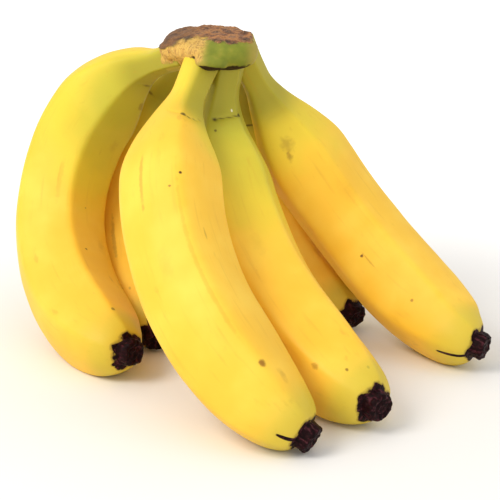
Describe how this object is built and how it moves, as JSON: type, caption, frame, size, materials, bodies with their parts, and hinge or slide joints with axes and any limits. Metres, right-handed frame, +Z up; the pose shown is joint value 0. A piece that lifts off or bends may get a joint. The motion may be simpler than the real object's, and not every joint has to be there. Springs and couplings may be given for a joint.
{
  "type": "bunch of bananas",
  "caption": "Bunch of ripe yellow bananas joined at a rough brown cut crown, resting on the ends of its curved fingers.",
  "frame": {"origin": "on the surface the bunch rests on, under the middle of its bounding box", "axes": "+Z up, -Y towards the front of the bunch, where the front finger's blossom end lies, +X to the right"},
  "size_m": [0.1968, 0.197, 0.13],
  "materials": {
    "crown_rind": "matte",
    "peel": "satin"
  },
  "bodies": {
    "root": {"crown": "crown_rind", "finger_left": "peel", "finger_left_inner": "peel", "finger_front": "peel", "finger_middle": "peel", "finger_right_inner": "peel", "finger_right": "peel"}
  },
  "joints": []
}
